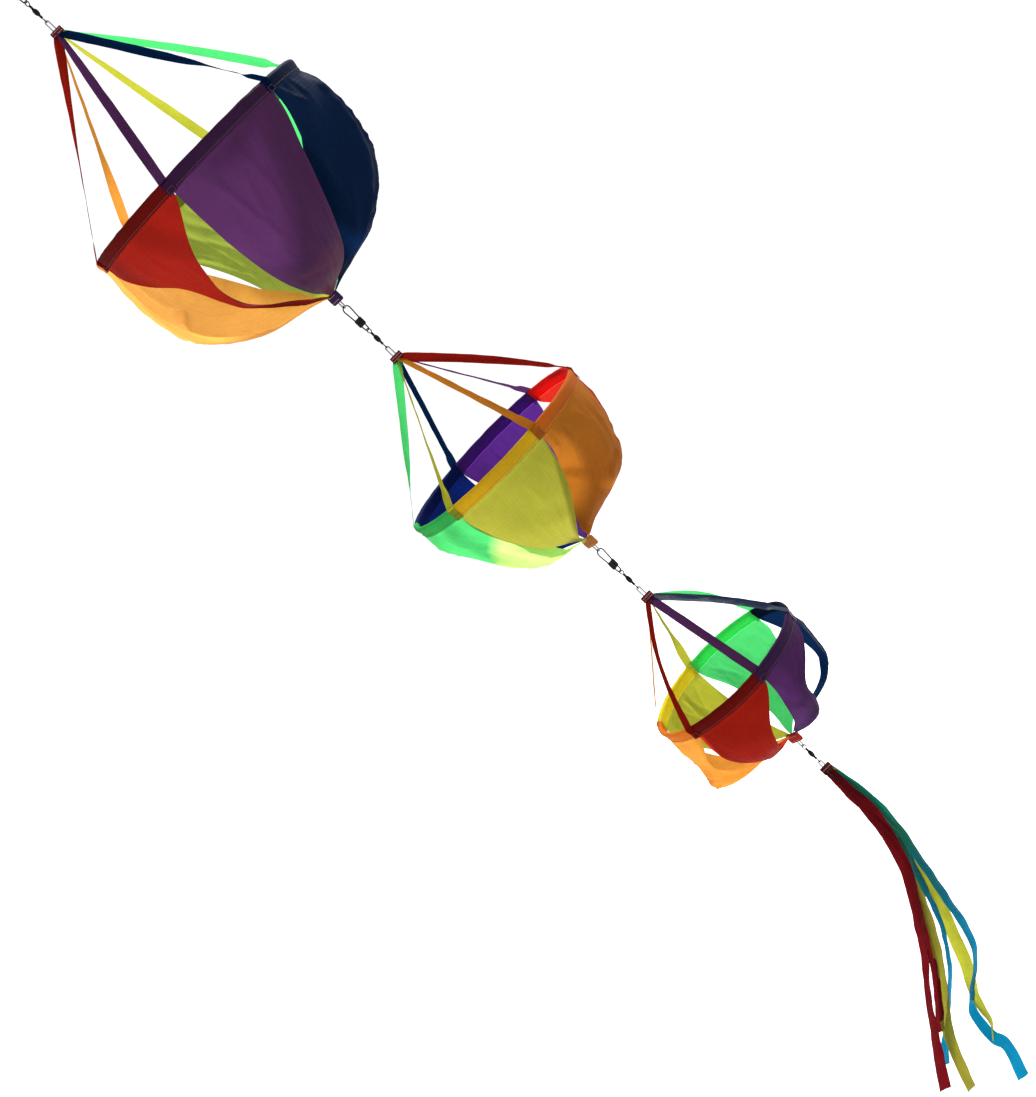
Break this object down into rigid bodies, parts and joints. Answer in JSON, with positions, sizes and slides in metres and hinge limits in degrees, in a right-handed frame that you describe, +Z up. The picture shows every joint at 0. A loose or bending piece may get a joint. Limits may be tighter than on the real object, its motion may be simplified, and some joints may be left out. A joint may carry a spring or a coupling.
{
  "type": "rotating windsock",
  "caption": "Hanging rainbow windsock for a kite line: hooped six-gore fabric baskets that shrink down the chain, linked by snap swivels, with a ribbon tail.",
  "frame": {"origin": "the hang point: inside of the top snap's wide bend, where a line's loop bears", "axes": "+Z up; the chain hangs straight down -Z; +X is to the right seen from the front, which looks along +Y"},
  "size_m": [0.3107, 0.2808, 1.5754],
  "materials": {
    "ripstop_red": "matte",
    "ripstop_orange": "matte",
    "ripstop_yellow": "matte",
    "ripstop_green": "matte",
    "ripstop_navy": "matte",
    "ripstop_purple": "matte",
    "strap_tape": "matte",
    "rod": "satin",
    "ferrule": "satin",
    "tab_dark_red": "matte",
    "tab_purple": "matte",
    "tab_brown": "matte",
    "tab_red": "matte",
    "braided_cord": "matte",
    "black_nickel": "polished",
    "ribbon_blue": "matte"
  },
  "bodies": {
    "snap_1": {"snap_wire_1": "black_nickel", "snap_clip_1": "black_nickel"},
    "upper_eye_1": {"swivel_upper_eye_1": "black_nickel"},
    "barrel_1": {"swivel_barrel_1": "black_nickel"},
    "lower_eye_1": {"swivel_lower_eye_1": "black_nickel"},
    "basket_1": {"cord_loops_1": "braided_cord", "front_tab_1": "tab_dark_red", "bridle_straps_1": "strap_tape", "hoop_1": "rod", "hoop_ferrule_1": "ferrule", "panel_red_1": "ripstop_red", "panel_orange_1": "ripstop_orange", "panel_yellow_1": "ripstop_yellow", "panel_green_1": "ripstop_green", "panel_navy_1": "ripstop_navy", "panel_purple_1": "ripstop_purple", "rear_tab_1": "tab_purple"},
    "snap_2": {"snap_wire_2": "black_nickel", "snap_clip_2": "black_nickel"},
    "upper_eye_2": {"swivel_upper_eye_2": "black_nickel"},
    "barrel_2": {"swivel_barrel_2": "black_nickel"},
    "lower_eye_2": {"swivel_lower_eye_2": "black_nickel"},
    "basket_2": {"cord_loops_2": "braided_cord", "front_tab_2": "tab_dark_red", "bridle_straps_2": "strap_tape", "hoop_2": "rod", "hoop_ferrule_2": "ferrule", "panel_red_2": "ripstop_red", "panel_orange_2": "ripstop_orange", "panel_yellow_2": "ripstop_yellow", "panel_green_2": "ripstop_green", "panel_navy_2": "ripstop_navy", "panel_purple_2": "ripstop_purple", "rear_tab_2": "tab_brown"},
    "snap_3": {"snap_wire_3": "black_nickel", "snap_clip_3": "black_nickel"},
    "upper_eye_3": {"swivel_upper_eye_3": "black_nickel"},
    "barrel_3": {"swivel_barrel_3": "black_nickel"},
    "lower_eye_3": {"swivel_lower_eye_3": "black_nickel"},
    "basket_3": {"cord_loops_3": "braided_cord", "front_tab_3": "tab_dark_red", "bridle_straps_3": "strap_tape", "hoop_3": "rod", "hoop_ferrule_3": "ferrule", "panel_red_3": "ripstop_red", "panel_orange_3": "ripstop_orange", "panel_yellow_3": "ripstop_yellow", "panel_green_3": "ripstop_green", "panel_navy_3": "ripstop_navy", "panel_purple_3": "ripstop_purple", "rear_tab_3": "tab_red"},
    "upper_eye_4": {"swivel_upper_eye_4": "black_nickel"},
    "barrel_4": {"swivel_barrel_4": "black_nickel"},
    "lower_eye_4": {"swivel_lower_eye_4": "black_nickel"},
    "tail": {"tail_cord_loop": "braided_cord", "tail_tab": "tab_dark_red", "tail_ribbons_red": "ripstop_red", "tail_ribbons_yellow": "ripstop_yellow", "tail_ribbons_blue": "ribbon_blue"}
  },
  "joints": [
    {"name": "snap_1_swing", "type": "hinge", "parent": "snap_1", "child": "upper_eye_1", "pos_m": [0, 0, -0.0329], "axis": [0.766, 0.6428, 0], "range_deg": [-60, 60]},
    {"name": "swivel_1_upper_turn", "type": "hinge", "parent": "upper_eye_1", "child": "barrel_1", "pos_m": [0, 0, -0.0454], "axis": [0, 0, 1], "continuous": true},
    {"name": "swivel_1_lower_turn", "type": "hinge", "parent": "barrel_1", "child": "lower_eye_1", "pos_m": [0, 0, -0.0454], "axis": [0, 0, 1], "continuous": true},
    {"name": "front_loop_1_swing", "type": "hinge", "parent": "lower_eye_1", "child": "basket_1", "pos_m": [0, 0, -0.05945], "axis": [0, 1, 0], "range_deg": [-60, 60]},
    {"name": "rear_loop_1_swing", "type": "hinge", "parent": "basket_1", "child": "snap_2", "pos_m": [0, 0, -0.4541], "axis": [0.6428, -0.766, 0], "range_deg": [-60, 60]},
    {"name": "snap_2_swing", "type": "hinge", "parent": "snap_2", "child": "upper_eye_2", "pos_m": [0, 0, -0.4859], "axis": [0.766, 0.6428, 0], "range_deg": [-60, 60]},
    {"name": "swivel_2_upper_turn", "type": "hinge", "parent": "upper_eye_2", "child": "barrel_2", "pos_m": [0, 0, -0.4984], "axis": [0, 0, 1], "continuous": true},
    {"name": "swivel_2_lower_turn", "type": "hinge", "parent": "barrel_2", "child": "lower_eye_2", "pos_m": [0, 0, -0.4984], "axis": [0, 0, 1], "continuous": true},
    {"name": "front_loop_2_swing", "type": "hinge", "parent": "lower_eye_2", "child": "basket_2", "pos_m": [0, 0, -0.51245], "axis": [0, 1, 0], "range_deg": [-60, 60]},
    {"name": "rear_loop_2_swing", "type": "hinge", "parent": "basket_2", "child": "snap_3", "pos_m": [0, 0, -0.8161], "axis": [0.6428, -0.766, 0], "range_deg": [-60, 60]},
    {"name": "snap_3_swing", "type": "hinge", "parent": "snap_3", "child": "upper_eye_3", "pos_m": [0, 0, -0.8479], "axis": [0.766, 0.6428, 0], "range_deg": [-60, 60]},
    {"name": "swivel_3_upper_turn", "type": "hinge", "parent": "upper_eye_3", "child": "barrel_3", "pos_m": [0, 0, -0.8604], "axis": [0, 0, 1], "continuous": true},
    {"name": "swivel_3_lower_turn", "type": "hinge", "parent": "barrel_3", "child": "lower_eye_3", "pos_m": [0, 0, -0.8604], "axis": [0, 0, 1], "continuous": true},
    {"name": "front_loop_3_swing", "type": "hinge", "parent": "lower_eye_3", "child": "basket_3", "pos_m": [0, 0, -0.87445], "axis": [0, 1, 0], "range_deg": [-60, 60]},
    {"name": "rear_loop_3_swing", "type": "hinge", "parent": "basket_3", "child": "upper_eye_4", "pos_m": [0, 0, -1.1261], "axis": [0.6428, -0.766, 0], "range_deg": [-60, 60]},
    {"name": "swivel_4_upper_turn", "type": "hinge", "parent": "upper_eye_4", "child": "barrel_4", "pos_m": [0, 0, -1.1385], "axis": [0, 0, 1], "continuous": true},
    {"name": "swivel_4_lower_turn", "type": "hinge", "parent": "barrel_4", "child": "lower_eye_4", "pos_m": [0, 0, -1.1385], "axis": [0, 0, 1], "continuous": true},
    {"name": "tail_loop_swing", "type": "hinge", "parent": "lower_eye_4", "child": "tail", "pos_m": [0, 0, -1.15255], "axis": [0, 1, 0], "range_deg": [-60, 60]}
  ]
}
